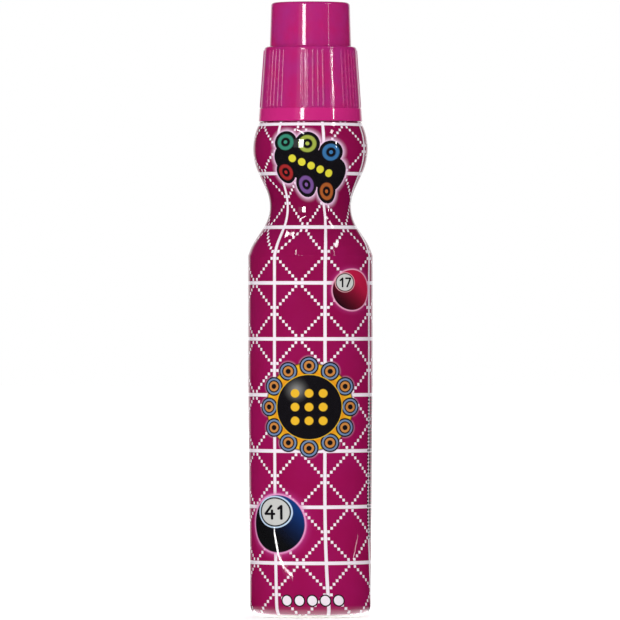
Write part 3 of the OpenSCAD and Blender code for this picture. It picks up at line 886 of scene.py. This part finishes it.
def dress_nodes():
    """Gives the solids that the scene keeps their materials."""
    assign(cap_plastic(), "cap")
    milk, white = darker(MILK_WHITE, 0.92), darker(MOULDED_WHITE, 0.94)
    rubber, liner = darker(RUBBER, 0.6), darker(LINER_WHITE, 0.9)
    assign(moulding("milky_bottle", MILK_WHITE, milk, 0.42, 150, 0.02 * MM), "bottle")
    assign(moulding("white_moulding", MOULDED_WHITE, white, 0.32, 200, 0.01 * MM, 0.36),
           "applicator_housing")
    assign(moulding("inked_moulding", MOULDED_WHITE, white, 0.32, 200, 0.01 * MM, 0.46),
           "pad_carrier", "retaining_ring", "valve_stem")
    assign(moulding("black_rubber", RUBBER, rubber, 0.6, 400, 0.02 * MM), "valve_seal")
    assign(moulding("liner_foam", LINER_WHITE, liner, 0.75, 700, 0.05 * MM, 0.4), "cap_liner")
    assign(moulding("marking_ink", INK, INK_DEEP, 0.16, 60, 0.02 * MM), "ink_fill")


# The pad
def domed(wall, rise):
    """A wall's points, then a quarter ellipse from its last point up to the axis, in metres."""
    top, wide = wall[-1]
    line = list(wall)
    for step in range(1, PAD_ARC_STEPS + 1):
        turn = math.pi / 2 * step / PAD_ARC_STEPS
        line.append((top + rise * math.sin(turn), wide * math.cos(turn)))
    return [(z * MM, r * MM) for z, r in line]


def pucker(mesh):
    """Draws the cloth into fine puckers just over the ring, fading out upwards."""
    for vertex in mesh.verts:
        share = (vertex.co.z - PUCKER_FOOT) / PUCKER_REACH
        if 0 < share < 1:
            turn = math.atan2(vertex.co.x, -vertex.co.y)
            fade = math.sin(math.pi * share) ** 2 * (1 - share)
            wave = 0.5 + 0.5 * math.cos(PUCKERS * turn + 0.8 * math.sin(5 * turn))
            size = math.hypot(vertex.co.x, vertex.co.y)
            keep = 1 - PUCKER_DEPTH * 2 * fade * wave / size
            vertex.co.x *= keep
            vertex.co.y *= keep


def lay_weave(mesh, outline):
    """Lays the flat cloth over the dome: each corner gets its place in the weave, from the pole."""
    layer = mesh.loops.layers.uv.new("weave")
    line = outline[::-1]
    length, reach = [0.0], 0.0
    for start, end in zip(line, line[1:]):
        reach += math.dist(start, end)
        length.append(reach)
    for face in mesh.faces:
        for loop in face.loops:
            co = loop.vert.co
            place = (co.z, math.hypot(co.x, co.y))
            near = min(range(len(line)), key=lambda step: math.dist(line[step], place))
            turn = math.atan2(co.y, co.x)
            out = (length[near] if near else place[1]) / MM
            loop[layer].uv = (out * math.cos(turn), out * math.sin(turn))


def tip_fabric():
    """Plain woven nylon, soaked with ink in patches, with painted shade in the gaps between threads.
    Threads go over and under in turn.
    """
    cloth = Shader("tip_fabric")
    flat = cloth.vector("MULTIPLY", cloth.attribute("weave"), (1 / THREAD_PITCH, 1 / THREAD_PITCH, 0))
    apart = cloth.node("SeparateXYZ", (flat,))
    across = [cloth.math("FRACT", apart.outputs[axis]) for axis in ("X", "Y")]
    count = [cloth.math("FLOOR", apart.outputs[axis]) for axis in ("X", "Y")]
    over = cloth.math("FLOORED_MODULO", cloth.math("ADD", *count), 2.0)
    humps = [cloth.math("SINE", cloth.math("MULTIPLY", share, math.pi)) for share in across]
    rounds = [cloth.math("MULTIPLY", humps[i], cloth.math("MULTIPLY_ADD", humps[1 - i], 0.45, 0.55))
              for i in (0, 1)]
    thread_lift_and_gap_shade = cloth.node("Mix", (over, *rounds)).outputs[0]
    wet = cloth.math("MULTIPLY_ADD", cloth.noise(cloth.place(), 320, 4), 3.0, -0.9, clamp=True)
    thread = cloth.mix(wet, CLOTH_LIGHT, INK)
    # Painted shade: the gaps between threads are drawn in the deep ink colour
    cloth.set(Base_Color=cloth.mix(thread_lift_and_gap_shade, INK_DEEP, thread), Roughness=0.62, Sheen_Weight=0.08)
    cloth.bump(thread_lift_and_gap_shade, THREAD_DEPTH)
    return cloth.material


def make_pad():
    """The cloth, drawn tight over its foam."""
    outline = domed(CLOTH_WALL, CLOTH_DOME)
    inside = moved_in(outline, CLOTH * MM)
    inside[-1] = (outline[-1][0] - CLOTH * MM, 0.0)
    mesh = revolve(outline + inside[::-1], PAD_TURN_STEPS, True)
    lay_weave(mesh, outline)
    pucker(mesh)
    cover = finish_piece(mesh, "woven_cover", tip_fabric(), "applicator")
    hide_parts("fabric_cover")
    mesh = revolve(domed(FOAM_WALL, FOAM_DOME), PAD_TURN_STEPS, False)
    pucker(mesh)
    foam = moulding("soaked_foam", INK, INK_DEEP, 0.85, 900, 0.12 * MM)
    core = finish_piece(mesh, "foam_core", foam, "applicator")
    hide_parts("foam_pad")


# The spring
def make_spring():
    """A drawn wire coil with closed ends."""
    mesh = bmesh.new()
    rise = SPRING_HEAD - SPRING_FOOT - 2 * WIRE
    rings = []
    count = SPRING_TURNS * SPRING_STEPS
    for step in range(count + 1):
        turn = SPRING_TURNS * step / count
        climb = min(max((turn - SPRING_FLAT) / (SPRING_TURNS - 2 * SPRING_FLAT), 0), 1)
        middle = SPRING_FOOT + WIRE + rise * climb
        angle = 2 * math.pi * turn
        ring = []
        for side in range(WIRE_SIDES):
            lean = 2 * math.pi * side / WIRE_SIDES
            out = SPRING_RADIUS + WIRE * math.cos(lean)
            ring.append(mesh.verts.new((out * math.cos(angle), out * math.sin(angle),
                                        middle + WIRE * math.sin(lean))))
        rings.append(ring)
    for below, above in zip(rings, rings[1:]):
        for side in range(WIRE_SIDES):
            near = (side + 1) % WIRE_SIDES
            mesh.faces.new((below[side], below[near], above[near], above[side]))
    mesh.faces.new(rings[0])
    mesh.faces.new(rings[-1])
    wire = Shader("spring_wire")
    tone = wire.noise(wire.place(), 500, 4)
    wire.set(Base_Color=wire.mix(tone, darker(STEEL, 0.75), STEEL), Metallic=1.0,
             Roughness=wire.math("MULTIPLY_ADD", tone, 0.2, 0.16))
    wire.bump(wire.noise(wire.place(), 2500, 2), 0.005 * MM)
    spring = finish_piece(mesh, "coil_spring", wire.material, "bottle")
    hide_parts("return_spring")
    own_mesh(spring)


make_camera()
make_world()
make_floor()
make_lamps()
make_sleeve()
dress_nodes()
make_pad()
make_spring()
bpy.context.scene.view_settings.view_transform = "Standard"
